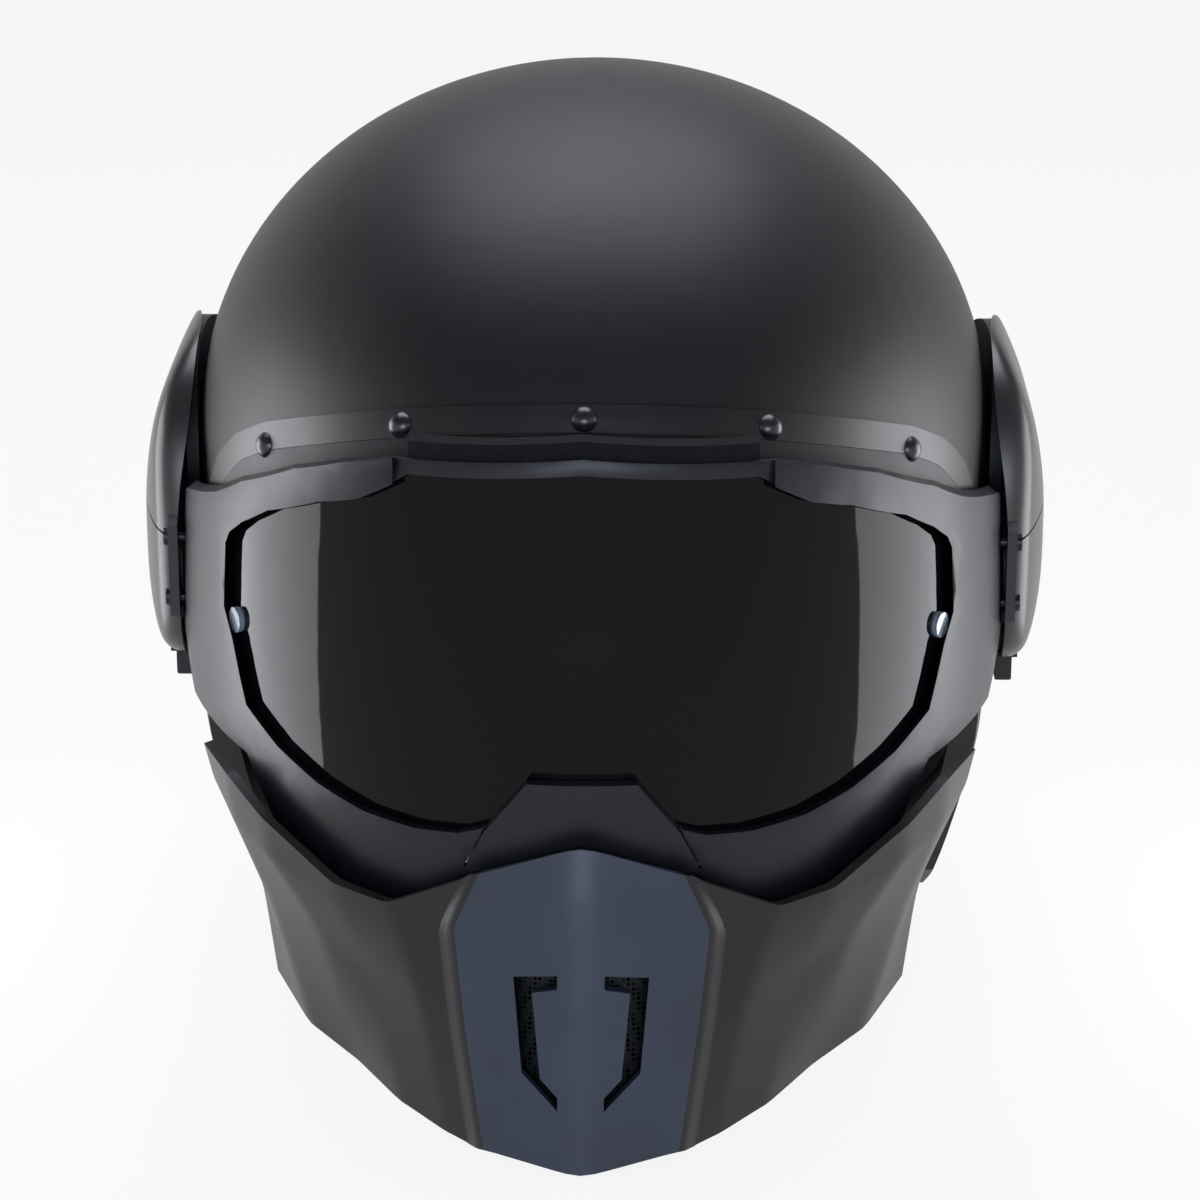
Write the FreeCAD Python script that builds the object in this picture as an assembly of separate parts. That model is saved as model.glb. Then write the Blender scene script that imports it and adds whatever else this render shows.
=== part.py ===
"""Open face motorcycle helmet with a swing-up goggle mask and chin guard.

Sizes are millimetres. X points to the viewer's right, the face looks along -Y and Z points up.
Pieces are drawn about the waist, the point on the centre line where the shell is widest, and
each one is moved to the floor frame when it is saved. Oval bodies are turned round first, cut
there, and then stretched along Y, so an outline that cuts them is squeezed by the same ratio.
"""
import FreeCAD, Part
import math
import os
from FreeCAD import Vector

os.makedirs("parts", exist_ok=True)

# ---------------------------------------------------------------- driving dimensions: shell
half_width = 125.0        # outside of the shell at the waist, X
half_length = 148.0       # outside of the shell at the waist, Y
crown_height = 109.0      # waist to crown
rim_drop = 170.0          # waist down to the shell's rear rim
rim_flat_start = 75.0     # the rim lies flat behind this Y
shell_wall = 4.0
trim_wall = 2.0           # rubber edge trim outside the shell's edge and rim
trim_lap = 5.0            # how far the trim reaches over the shell
rim_ground = 0.05         # taken off under the rim's trim, so that it rests on a true flat
foam_wall = 26.0          # energy-absorbing liner
comfort_wall = 8.0        # crown comfort padding
cheek_wall = 22.0
neck_wall = 19.0
soft_gap = 0.35           # soft or curved piece to its neighbour
slip_gap = 0.15           # rigid pieces fixed to each other

# ---------------------------------------------------------------- driving dimensions: mask
mask_half_width = 130.0
mask_half_depth = 167.2
mask_widest_z = -60.0
mask_bulge_radius = 581.5
frame_proud = 3.0         # frame face outside the mask surface
frame_back = 0.6          # frame's inner face
lens_wall = 2.0
lens_lap = 3.0            # how far the lens reaches behind the frame
gasket_wall = 1.2
guard_wall = 3.4
tip_reach = 195.0         # waist to the tip of the chin guard, Y
tip_drop = 172.0          # waist down to the tip, which rests on the table

# ---------------------------------------------------------------- driving dimensions: pivots
pivot_y = 18.0
pivot_z = -15.0
hub_radius = 10.0
hub_running_gap = 0.05
base_face_x = 129.1       # flat outer face of the pivot base
arm_wall = 3.0
arm_disc_radius = 25.0
arm_gap = 0.5
pod_half_width = 145.0
pod_wall = 2.5

waist_z = tip_drop
far = 220.0
shell_ratio = half_length / half_width
mask_ratio = mask_half_depth / mask_half_width
rear_reach = 149.2       # waist to the shell's rearmost point, below the waist
waist_y = (tip_reach - rear_reach) / 2
outward = Vector(1, 0, 0)


# ---------------------------------------------------------------- making and saving
def save(name, shape):
    """Move a piece from the waist frame to the floor frame and write it."""
    solids = shape.Solids
    placed = solids[0] if len(solids) == 1 else Part.makeCompound(solids)
    placed = placed.copy()
    placed.translate(Vector(0, waist_y, waist_z))
    placed.exportStep("parts/" + name + ".step")
    box = placed.BoundBox
    print("%-22s %2d solids, valid %s, %8.0f mm3, x %.1f..%.1f y %.1f..%.1f z %.1f..%.1f" % (
        name, len(solids), placed.isValid(), placed.Volume,
        box.XMin, box.XMax, box.YMin, box.YMax, box.ZMin, box.ZMax))


def mirrored(shape):
    return shape.mirror(Vector(0, 0, 0), Vector(1, 0, 0))


def save_pair(name, left):
    """Write the wearer's left piece, on the +X side, and its mirror image."""
    save(name + "_left", left)
    save(name + "_right", mirrored(left))


def scaled_y(shape, ratio):
    matrix = FreeCAD.Matrix()
    matrix.scale(1.0, ratio, 1.0)
    return shape.transformGeometry(matrix)


def spline(points, first, last):
    curve = Part.BSplineCurve()
    curve.interpolate(Points=points, InitialTangent=first, FinalTangent=last)
    return curve.toShape()


def closed_face(points):
    return Part.Face(Part.makePolygon(points + points[:1]))


def side_prism(outline, x0, x1, ratio=1.0):
    """Outline in Y and Z, extruded across the helmet and squeezed for a body stretched by ratio."""
    points = [Vector(x0, y / ratio, z) for y, z in outline]
    return closed_face(points).extrude(Vector(x1 - x0, 0, 0))


def front_prism(outline, y0, y1):
    """Outline in X and Z, extruded from front to back."""
    points = [Vector(x, y0, z) for x, z in outline]
    return closed_face(points).extrude(Vector(0, y1 - y0, 0))


def top_prism(outline, z0, z1):
    points = [Vector(x, y, z0) for x, y in outline]
    return closed_face(points).extrude(Vector(0, 0, z1 - z0))


def box(x0, x1, y0, y1, z0, z1):
    return Part.makeBox(x1 - x0, y1 - y0, z1 - z0, Vector(x0, y0, z0))


def both_halves(outline):
    """Right-hand outline from the top centre to the bottom centre, closed by its mirror image."""
    return outline + [(-x, z) for x, z in reversed(outline) if x > 0]


def grown(outline, amount):
    """Move a clockwise outline's corners outwards by amount."""
    result = []
    for i, (x, z) in enumerate(outline):
        x0, z0 = outline[i - 1]
        x1, z1 = outline[(i + 1) % len(outline)]
        before = Vector(x - x0, z - z0, 0).normalize()
        after = Vector(x1 - x, z1 - z, 0).normalize()
        along = (before + after).normalize()
        reach = amount / max(0.6, along.dot(before))
        result.append((x - along.y * reach, z + along.x * reach))
    return result


def rod(radius, start, direction, length):
    return Part.makeCylinder(radius, length, start, direction)


def ring(outer, inner, start, direction, length):
    return rod(outer, start, direction, length).cut(rod(inner, start, direction, length))


# ---------------------------------------------------------------- oval bodies
def shell_outline(grow):
    """Half section of the shell's outer surface moved outwards by grow, and its lowest point."""
    wide = half_width + grow
    high = crown_height + grow
    if wide > high:
        ellipse = Part.Ellipse(Vector(wide, 0, 0), Vector(0, 0, high), Vector(0, 0, 0))
        crown = Part.ArcOfEllipse(ellipse, 0, math.pi / 2).toShape()
    else:
        ellipse = Part.Ellipse(Vector(0, 0, high), Vector(-wide, 0, 0), Vector(0, 0, 0))
        crown = Part.ArcOfEllipse(ellipse, 1.5 * math.pi, 2 * math.pi).toShape()
    slope = [(1.004, -50), (0.998, -96), (0.96, -119), (0.896, -146), (0.8, -174)]
    points = [Vector(wide, 0, 0)] + [Vector(half_width * share + grow, 0, z) for share, z in slope]
    side = spline(points, Vector(0, 0, -1), Vector(-0.55, 0, -1))
    return crown, side, points[-1]


def shell_layer(outside, inside):
    """The round layer between two offsets of the shell's outer surface."""
    crown_0, side_0, foot_0 = shell_outline(outside)
    crown_1, side_1, foot_1 = shell_outline(inside)
    top = Part.makeLine(Vector(0, 0, crown_height + outside), Vector(0, 0, crown_height + inside))
    bottom = Part.makeLine(foot_0, foot_1)
    section = Part.Wire(Part.__sortEdges__([crown_0, side_0, crown_1, side_1, top, bottom]))
    return Part.Face(section).revolve(Vector(0, 0, 0), Vector(0, 0, 1), 360)


def mask_radius(z):
    return mask_half_width - (z - mask_widest_z) ** 2 / (2 * mask_bulge_radius)


def mask_layer(outside, inside):
    """The round layer between two offsets of the mask's surface."""
    heights = (50.0, mask_widest_z, -130.0)
    outer = [Vector(mask_radius(z) + outside, 0, z) for z in heights]
    inner = [Vector(mask_radius(z) + inside, 0, z) for z in heights]
    edges = [Part.Arc(*outer).toShape(), Part.makeLine(outer[2], inner[2]),
             Part.Arc(*reversed(inner)).toShape(), Part.makeLine(inner[0], outer[0])]
    return Part.Face(Part.Wire(edges)).revolve(Vector(0, 0, 0), Vector(0, 0, 1), 360)


def mask_point(x, z, grow):
    """Point on the front of the mask at an offset, and the outward direction there."""
    r = mask_radius(z) + grow
    y = -mask_ratio * math.sqrt(r ** 2 - x ** 2)
    return Vector(x, y, z), Vector(x, y / mask_ratio ** 2, 0).normalize()


def shell_point(x, z, grow):
    """Point on the front of the dome at an offset, and the outward direction there."""
    wide = half_width + grow
    high = crown_height + grow
    y = -shell_ratio * math.sqrt(wide ** 2 * (1 - (z / high) ** 2) - x ** 2)
    out = Vector(x / wide ** 2, y / (shell_ratio * wide) ** 2, z / high ** 2).normalize()
    return Vector(x, y, z), out


# The open edge of the shell in side view: along the brow, down in front of the ear, round the
# cheek corner and back to the flat rear rim.
edge_line = [(-190, 52), (-143, 31.1), (-116.5, 19.0), (-99, 11.5), (-87, 4.5), (-76, -5),
             (-64, -19), (-53, -39), (-44, -66), (-38, -96), (-34, -126), (-29, -146),
             (-14, -157), (20, -163.5), (rim_flat_start, -rim_drop), (far, -rim_drop)]


def edge_prism(inward):
    """All that lies behind and above the open edge moved into the material, squeezed."""
    moved = []
    for i, (y, z) in enumerate(edge_line):
        y0, z0 = edge_line[max(i - 1, 0)]
        y1, z1 = edge_line[min(i + 1, len(edge_line) - 1)]
        along = Vector(y1 - y0, z1 - z0, 0).normalize()
        if y >= rim_flat_start:
            along = Vector(1, 0, 0)
        moved.append((y - along.y * inward, z + along.x * inward))
    corners = [(far, far), (-far, far), (-far, moved[0][1] + 12)]
    return side_prism(moved + corners, -far, far, shell_ratio)


# ---------------------------------------------------------------- pivot stack sizes
stack_x = base_face_x + arm_gap
washer_wall = 1.0
washer_radius = 17.0
hub_top_x = stack_x + arm_wall + washer_wall + 0.4
screw_radius = 2.5
screw_head_radius = 11.0
screw_head_height = 2.4
base_radius = 38.5
nut_radius = 8.0
nut_wall = 1.6
nut_barrel_radius = 4.2
base_screw_radius = 2.0
base_screw_head = 3.4
base_screw_reach = 19.0
inner_wall_x = half_width - shell_wall


def at_pivot(x, dy=0.0, dz=0.0):
    return Vector(x, pivot_y + dy, pivot_z + dz)


# ---------------------------------------------------------------- outer shell and its holes
outer_shell = shell_layer(0, -shell_wall).common(edge_prism(0))
side_holes = [rod(nut_barrel_radius + slip_gap, at_pivot(100), outward, 40)]
for dz in (-base_screw_reach, base_screw_reach):
    side_holes.append(rod(base_screw_radius + slip_gap, at_pivot(100, 0, dz), outward, 40))
anchor_y = 2.0
anchor_z = -109.0
anchor_radius = 2.5
side_holes.append(rod(anchor_radius + slip_gap, Vector(100, anchor_y, anchor_z), outward, 40))
side_holes += [mirrored(hole) for hole in side_holes]

strip_wall = 1.8
strip_height = 8.6
strip_end_y = -57.0
strip_offset = slip_gap + strip_wall
rivet_places = [(-96.3, 17.2), (-53.5, 34.2), (0.0, 40.0), (53.5, 34.2), (96.3, 17.2)]
rivet_radius = 1.5
rivet_head_radius = 3.8
rivet_head_height = 2.3
rivet_tail = 6.0

rivets = []
rivet_holes = []
for x, z in rivet_places:
    seat, out = shell_point(x, z, strip_offset + 0.1)
    ball_radius = (rivet_head_radius ** 2 + rivet_head_height ** 2) / (2 * rivet_head_height)
    ball = Part.makeSphere(ball_radius, seat + out * (rivet_head_height - ball_radius))
    head = ball.common(rod(rivet_head_radius, seat, out, rivet_head_height + 1))
    shank = rod(rivet_radius, seat - out * rivet_tail, out, rivet_tail + 0.5)
    rivets.append(head.fuse(shank))
    rivet_holes.append(rod(rivet_radius + slip_gap, seat - out * 14, out, 18))
squeezed_holes = [scaled_y(hole, 1 / shell_ratio) for hole in side_holes + rivet_holes]
outer_shell = scaled_y(outer_shell.cut(squeezed_holes), shell_ratio)
save("outer_shell", outer_shell)
save("brow_rivets", Part.makeCompound(rivets))

strip_band = edge_prism(trim_lap + slip_gap).cut(edge_prism(trim_lap + strip_height))
strip_front = side_prism([(-far, -60), (-far, far), (strip_end_y, far), (strip_end_y, -60)],
                         -far, far, shell_ratio)
brow_strip = shell_layer(strip_offset, slip_gap).common(strip_band).common(strip_front)
brow_strip = brow_strip.cut([scaled_y(hole, 1 / shell_ratio) for hole in rivet_holes])
save("brow_strip", scaled_y(brow_strip, shell_ratio))

trim_band = edge_prism(-trim_wall).cut(edge_prism(trim_lap))
edge_slot = shell_layer(slip_gap, -shell_wall - slip_gap).common(edge_prism(-slip_gap))
edge_trim = shell_layer(trim_wall, -shell_wall - trim_wall).common(trim_band).cut(edge_slot)
edge_trim = scaled_y(edge_trim, shell_ratio)
trim_foot_z = -rim_drop - trim_wall
edge_trim = edge_trim.cut(box(-far, far, -far, far, trim_foot_z - 10, trim_foot_z + rim_ground))
save("edge_trim", edge_trim)

# ---------------------------------------------------------------- liner and pads
foam_outside = -shell_wall - soft_gap
foam_inside = foam_outside - foam_wall
foam_keep = side_prism([(-far, -98), (-far, far), (far, far), (far, -126), (48, -126), (18, -98)],
                       -far, far, shell_ratio)
eps_liner = shell_layer(foam_outside, foam_inside).common(edge_prism(5)).common(foam_keep)
nut_pocket = rod(nut_radius + 1, at_pivot(112), outward, 20)
screw_pockets = [rod(base_screw_head, at_pivot(112, 0, dz), outward, 20)
                 for dz in (-base_screw_reach, base_screw_reach)]
pockets = [nut_pocket, mirrored(nut_pocket)] + screw_pockets + [mirrored(p) for p in screw_pockets]
eps_liner = eps_liner.cut([scaled_y(pocket, 1 / shell_ratio) for pocket in pockets])
save("eps_liner", scaled_y(eps_liner, shell_ratio))

pad_outside = foam_inside - soft_gap
crown_keep = side_prism([(-far, -14), (-far, far), (far, far), (far, -70), (60, -70), (20, -18)],
                        -far, far, shell_ratio)
crown_pad = shell_layer(pad_outside, pad_outside - comfort_wall)
crown_pad = crown_pad.common(edge_prism(11)).common(crown_keep)
save("crown_pad", scaled_y(crown_pad, shell_ratio))

cheek_outline = [(-32, -24), (14, -22), (26, -72), (42, -76), (34, -118), (-18, -118), (-30, -96)]
cheek_layer = shell_layer(pad_outside, pad_outside - cheek_wall)
cheek_pad = cheek_layer.common(side_prism(cheek_outline, 20, far, shell_ratio))
save_pair("cheek_pad", scaled_y(cheek_pad, shell_ratio))

neck_outside = -shell_wall - 2 * soft_gap
neck_outline = [(30, -155), (30, -134), (48, -130), (far, -130), (far, -162.5), (80, -162.5)]
neck_roll = shell_layer(neck_outside, neck_outside - neck_wall)
neck_roll = neck_roll.common(side_prism(neck_outline, -far, far, shell_ratio))
save("neck_roll", scaled_y(neck_roll, shell_ratio))

# ---------------------------------------------------------------- pivot base and its fasteners
seat_radius = half_length ** 2 / half_width
seat_cylinder = Part.makeCylinder(seat_radius + 0.9, 200, Vector(half_width + 0.5 - seat_radius, 0, -120))
pivot_base = rod(base_radius, at_pivot(118), outward, base_face_x - 118)
leaf_post_y = arm_disc_radius + 2.3
post = box(base_face_x - 4, base_face_x + 2.2, pivot_y + leaf_post_y, pivot_y + leaf_post_y + 2.6,
           pivot_z - 9, pivot_z + 9)
post_foot = box(118, base_face_x, pivot_y + 20, pivot_y + leaf_post_y + 2.6, pivot_z - 9, pivot_z + 9)
pivot_base = pivot_base.fuse([post_foot]).cut(seat_cylinder)
hub = rod(hub_radius, at_pivot(base_face_x - 0.5), outward, hub_top_x - base_face_x + 0.5)
pivot_base = pivot_base.fuse([hub, post])
base_screws = []
for dz in (-base_screw_reach, base_screw_reach):
    head_x = base_face_x - 1.8
    head = rod(base_screw_head, at_pivot(head_x, 0, dz), outward, 1.5)
    base_screws.append(head.fuse(rod(base_screw_radius, at_pivot(117.5, 0, dz), outward, head_x - 117.4)))
    pivot_base = pivot_base.cut([
        rod(base_screw_head + slip_gap, at_pivot(head_x - slip_gap, 0, dz), outward, 5),
        rod(base_screw_radius + slip_gap, at_pivot(110, 0, dz), outward, 20)])
pivot_base = pivot_base.cut(rod(screw_radius + slip_gap, at_pivot(110), outward, 40))
save_pair("pivot_base", pivot_base)
save("base_screws", Part.makeCompound(base_screws + [mirrored(screw) for screw in base_screws]))

nut_x = inner_wall_x - nut_wall - 3.4
pivot_nut = rod(nut_radius, at_pivot(nut_x), outward, nut_wall)
pivot_nut = pivot_nut.fuse(rod(nut_barrel_radius, at_pivot(nut_x), outward, 6.5))
pivot_nut = pivot_nut.cut(rod(screw_radius + hub_running_gap, at_pivot(nut_x - 1), outward, 9))
save("pivot_nuts", Part.makeCompound([pivot_nut, mirrored(pivot_nut)]))

head_x = hub_top_x + slip_gap
pivot_screw = rod(screw_head_radius, at_pivot(head_x), outward, screw_head_height)
pivot_screw = pivot_screw.fuse(rod(screw_radius, at_pivot(nut_x), outward, head_x - nut_x + 0.5))
socket_radius = 3.0
socket_angles = [math.radians(60 * i) for i in range(6)]
socket_points = [at_pivot(head_x + 1.0, socket_radius * math.cos(angle), socket_radius * math.sin(angle))
                 for angle in socket_angles]
pivot_screw = pivot_screw.cut(closed_face(socket_points).extrude(outward * 5))
save_pair("pivot_screw", pivot_screw)

washer_x = stack_x + arm_wall + slip_gap
washer = ring(washer_radius, hub_radius + slip_gap, at_pivot(washer_x), outward, washer_wall)
save("friction_washers", Part.makeCompound([washer, mirrored(washer)]))

leaf_x = stack_x + 0.3
leaf_height = arm_wall - 0.6
leaf_inner = arm_disc_radius + 1.0
leaf = ring(leaf_inner + 0.9, leaf_inner, at_pivot(leaf_x), outward, leaf_height)
leaf_wedge = [(pivot_y, pivot_z), (pivot_y + 60, pivot_z + 26), (pivot_y + 60, pivot_z - 26)]
leaf = leaf.common(side_prism(leaf_wedge, leaf_x - 1, leaf_x + 5))
leaf = leaf.fuse(rod(0.8, at_pivot(leaf_x, leaf_inner - 0.1), outward, leaf_height))
save_pair("detent_leaf", leaf)

# ---------------------------------------------------------------- mask arm
arm_front_y = -47.0
frame_rear_y = -38.0
arm_low_z = -60.0
arm_outline = [(pivot_y - 6, pivot_z + 24), (-34, -17), (arm_front_y, -25), (arm_front_y, -55),
               (-34, arm_low_z), (-12, arm_low_z), (pivot_y - 4, pivot_z - 24)]
notch_angles = [0.0, 35.0, 70.0]
notch_radius = 1.3
arm_screw_places = [(-42.5, -30.0), (-42.5, -50.0)]
arm_screw_radius = 1.5
boss_reach = 20.8
boss_radius = 3.2
pod_screw_radius = 1.4
pod_screw_head = 2.6

mask_arm = rod(arm_disc_radius, at_pivot(stack_x), outward, arm_wall)
mask_arm = mask_arm.fuse(side_prism(arm_outline, stack_x, stack_x + arm_wall))
arm_holes = [rod(hub_radius + hub_running_gap, at_pivot(stack_x - 1), outward, arm_wall + 2)]
for angle in notch_angles:
    turn = math.radians(angle)
    arm_holes.append(rod(notch_radius, at_pivot(stack_x - 1, (arm_disc_radius + 0.3) * math.cos(turn),
                                                (arm_disc_radius + 0.3) * math.sin(turn)),
                         outward, arm_wall + 2))
for y, z in arm_screw_places:
    arm_holes.append(rod(arm_screw_radius + slip_gap, Vector(stack_x - 1, y, z), outward, arm_wall + 2))
pod_screws = []
for dz in (-boss_reach, boss_reach):
    arm_holes.append(rod(pod_screw_radius + slip_gap, at_pivot(stack_x - 1, 0, dz), outward, arm_wall + 2))
    arm_holes.append(rod(pod_screw_head + slip_gap, at_pivot(stack_x - 1, 0, dz), outward, 2.4))
    head = rod(pod_screw_head, at_pivot(stack_x + 0.1, 0, dz), outward, 1.2)
    pod_screws.append(head.fuse(rod(pod_screw_radius, at_pivot(stack_x + 0.1, 0, dz), outward, 8.0)))
mask_arm = mask_arm.cut(arm_holes)
save_pair("mask_arm", mask_arm)
save("pod_screws", Part.makeCompound(pod_screws + [mirrored(screw) for screw in pod_screws]))

# ---------------------------------------------------------------- side pods
# Each pod is the overlap of a side, a front and a top outline, all clockwise. Its walls reach in
# towards the shell at the front and top, which swing over the narrow part of the dome, and stay
# outside the shell's widest line behind and below.
pod_inner_x = 129.6
pod_deep_x = 124.6
seam_inner_z = -33.0
seam_outer_z = -24.0
seam_gap = 0.5


def pod_block(shrink, inner_x):
    side = [(-44, -66), (-44, -18), (-37, 12), (-20, 33), (30, 31), (60, 8), (67, -24), (54, -58),
            (16, -77), (-28, -77)]
    front = [(inner_x, -77), (inner_x, 33), (127, 30), (131, 25), (138, 4), (143.5, -18),
             (pod_half_width, -26), (pod_half_width, -54), (142, -68), (137.5, -77)]
    top = [(inner_x, -60), (inner_x, 76), (135, 66), (pod_half_width, 28), (pod_half_width, -6),
           (142.5, -28), (134, -52)]
    body = side_prism(grown(side, -shrink), 90, 160)
    body = body.common(front_prism(grown(front, -shrink), -90, 90))
    return body.common(top_prism(grown(top, -shrink), -120, 80))


pod_limit = box(pod_inner_x, 160, -90, 90, -120, 60)
deep_wall = side_prism([(-90, -14), (-90, 60), (14, 60), (-8, 24), (-28, -14)], pod_deep_x, 160)
pod_limit = pod_limit.fuse(deep_wall)
pod_skin = pod_block(0, 118).cut(pod_block(pod_wall, 90)).common(pod_limit)
arm_slot = box(110, stack_x + arm_wall + 2.2, -60, -30, -62, -14)
pod_skin = pod_skin.cut(arm_slot)
boss_x = stack_x + arm_wall + slip_gap
bosses = [rod(boss_radius, at_pivot(boss_x, 0, dz), outward, 20).common(pod_block(0, 118))
          for dz in (-boss_reach, boss_reach)]
boss_holes = [rod(pod_screw_radius + slip_gap, at_pivot(boss_x - 1, 0, dz), outward, 7.5)
              for dz in (-boss_reach, boss_reach)]
pod_skin = pod_skin.fuse(bosses).cut(boss_holes)

tab_x = (128.6, 134.0)
tab_y = (-26.0, -15.0)
tab_low_z = -83.0
tab_top_z = -67.0
tab_gap = 0.4
tab_hole = box(tab_x[0] - tab_gap, tab_x[1] + tab_gap, tab_y[0] - tab_gap, tab_y[1] + tab_gap, -90, -60)
pod_skin = pod_skin.cut(tab_hole)
above_seam = front_prism([(100, seam_inner_z), (100, 90), (170, 90), (170, seam_outer_z + 8),
                          (pod_half_width, seam_outer_z), (126, seam_inner_z)], -90, 90)
below_seam = front_prism([(100, -130), (100, seam_inner_z - seam_gap), (126, seam_inner_z - seam_gap),
                          (pod_half_width, seam_outer_z - seam_gap), (170, seam_outer_z + 8 - seam_gap),
                          (170, -130)], -90, 90)
save_pair("side_cover_upper", pod_skin.common(above_seam))
save_pair("side_cover_lower", pod_skin.common(below_seam))

# ---------------------------------------------------------------- release tab and its spring
tab = box(tab_x[0], tab_x[1], tab_y[0], tab_y[1], tab_low_z, tab_top_z)
tab = tab.makeFillet(1.2, [edge for edge in tab.Edges if edge.BoundBox.ZMax < tab_low_z + 0.1])
flange_z = -74.5 + slip_gap
tab = tab.fuse(box(tab_x[0], tab_x[1] + 1.6, tab_y[0] - 1.2, tab_y[1] + 1.2, flange_z, flange_z + 1.6))
save_pair("release_tab", tab)

coil_radius = 1.7
coil_wire = 0.35
coil_turns = 4
spring_top_z = arm_low_z - slip_gap
coil_base = Vector((tab_x[0] + tab_x[1]) / 2 - 0.3, (tab_y[0] + tab_y[1]) / 2, tab_top_z + coil_wire + 0.05)
coil_height = spring_top_z - coil_wire - coil_base.z
helix = Part.makeHelix(coil_height / coil_turns, coil_height, coil_radius)
wire_section = Part.Wire(Part.Circle(Vector(coil_radius, 0, 0), Vector(0, 1, 0), coil_wire).toShape())
coil = Part.Wire(helix.Edges).makePipeShell([wire_section], True, True)
coil.translate(coil_base)
save_pair("tab_spring", coil)

# ---------------------------------------------------------------- goggle frame
frame_outline = both_halves([
    (0, 34), (54.5, 29.5), (69, 25.6), (85, 18.8), (102.7, 7.6), (112.4, -1.2), (121.8, -8.5),
    (136, -22), (136, -62), (127, -66), (124, -75), (112, -76), (103, -76.5), (98, -86), (90, -101),
    (72, -114), (57, -116), (29, -103), (0, -93)])
opening_half = [
    (0, 29.5), (50, 25.5), (56.6, 21.2), (65.2, 16), (77, 12), (93.8, 3.3), (102.8, -4.4),
    (107.5, -10), (109, -14), (110, -34), (107, -42.5), (104.8, -52), (102.6, -60.5), (92, -68),
    (78.8, -74), (64.8, -77.8), (49, -79), (35.8, -78), (28.7, -75.4), (24.7, -72.7),
    (17.2, -62.8), (15.4, -60.4), (0, -59.6)]
opening_outline = both_halves(opening_half)
frame_side = [(-far, 60), (-60, 4), (-47, -12), (frame_rear_y, -17), (frame_rear_y, -54), (-52, -66),
              (-58, -75), (-64, -92), (-75, -122), (-far, -122)]
frame_side_prism = side_prism(list(reversed(frame_side)), -far, far, mask_ratio)
front_y0 = -far
front_y1 = -10

goggle_frame = mask_layer(frame_proud, frame_back).common(front_prism(frame_outline, front_y0, front_y1))
goggle_frame = goggle_frame.common(frame_side_prism)
goggle_frame = goggle_frame.cut(front_prism(opening_outline, front_y0, front_y1))
bridge_recess = mask_layer(frame_proud + 3, 1.4).common(box(-54.5, 54.5, front_y0, 0, 18, 50))
goggle_frame = goggle_frame.cut(bridge_recess)

nose_low_z = -88.0
nose_side = [(15.2, -59.0), (60, -59.0), (60, -90), (34.0, -88.5), (28.4, -76.2)]
nose_window = both_halves([(0, -59.0), (15.2, -60.0), (28.7, -75.9), (34.5, -88.5), (0, -88.5)])
goggle_frame = goggle_frame.cut(front_prism(nose_window, front_y0, front_y1))
nose_wedge = front_prism(nose_side, front_y0, front_y1)
nose_block = box(-34, 34, front_y0, front_y1, nose_low_z, -59.9)
nose_piece = mask_layer(frame_proud + 0.8, frame_back).common(nose_block)
nose_piece = nose_piece.cut([nose_wedge, mirrored(nose_wedge)])
save("nose_piece", scaled_y(nose_piece, mask_ratio))

guard_screw_places = [(64.0, -107.5), (87.0, -97.0)]
guard_screw_radius = 1.5
guard_screws = []
frame_holes = []
for x, z in guard_screw_places:
    seat, out = mask_point(x, z, 0)
    head = rod(3.0, seat - out * 2.0, out, 1.8)
    screw = head.fuse(rod(guard_screw_radius, seat - out * 0.4, out, 7.6))
    hole = rod(guard_screw_radius + 0.25, seat - out * 4, out, 12.2)
    guard_screws += [screw, mirrored(screw)]
    frame_holes += [hole, mirrored(hole)]
arm_frame_holes = [rod(arm_screw_radius + slip_gap, Vector(110, y, z), outward, 30)
                   for y, z in arm_screw_places]
arm_frame_holes += [mirrored(hole) for hole in arm_frame_holes]
goggle_frame = goggle_frame.cut([scaled_y(hole, 1 / mask_ratio) for hole in frame_holes + arm_frame_holes])
save("goggle_frame", scaled_y(goggle_frame, mask_ratio))
save("guard_screws", Part.makeCompound(guard_screws))

arm_screws = []
for y, z in arm_screw_places:
    head = rod(2.8, Vector(stack_x + arm_wall + slip_gap, y, z), outward, 1.5)
    arm_screws.append(head.fuse(rod(arm_screw_radius, Vector(124.0, y, z), outward,
                                    stack_x + arm_wall + slip_gap - 123.5)))
save("arm_screws", Part.makeCompound(arm_screws + [mirrored(screw) for screw in arm_screws]))

# ---------------------------------------------------------------- lens, pins, gasket and brow seal
pin_x = 105.0
pin_z = -37.0
pin_radius = 2.0
pin_head_radius = 3.9
pin_head_height = 1.5
lens_outside = frame_back - soft_gap
lens_inside = lens_outside - lens_wall
lens_outline = grown(opening_outline, lens_lap)
lens_top_z = 33.6
lens_prism = front_prism(lens_outline, front_y0, front_y1)
lens_prism = lens_prism.common(box(-far, far, front_y0, front_y1, -far, lens_top_z))
lens = mask_layer(lens_outside, lens_inside).common(lens_prism)
pins = []
pin_holes = []
for side in (1, -1):
    seat, out = mask_point(side * pin_x, pin_z, lens_outside)
    outer_head = rod(pin_head_radius, seat + out * 0.2, out, pin_head_height)
    shank = rod(pin_radius, seat - out * 5.0, out, 5.4)
    inner_head = rod(pin_head_radius - 1, seat - out * (lens_wall * 1.3 + 1.7), out, 1.2)
    pins.append(outer_head.fuse([shank, inner_head]))
    pin_holes.append(rod(pin_radius + slip_gap, seat - out * 8, out, 14))
lens = lens.cut([scaled_y(hole, 1 / mask_ratio) for hole in pin_holes])
save("lens", scaled_y(lens, mask_ratio))
save("lens_pins", Part.makeCompound(pins))

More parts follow.
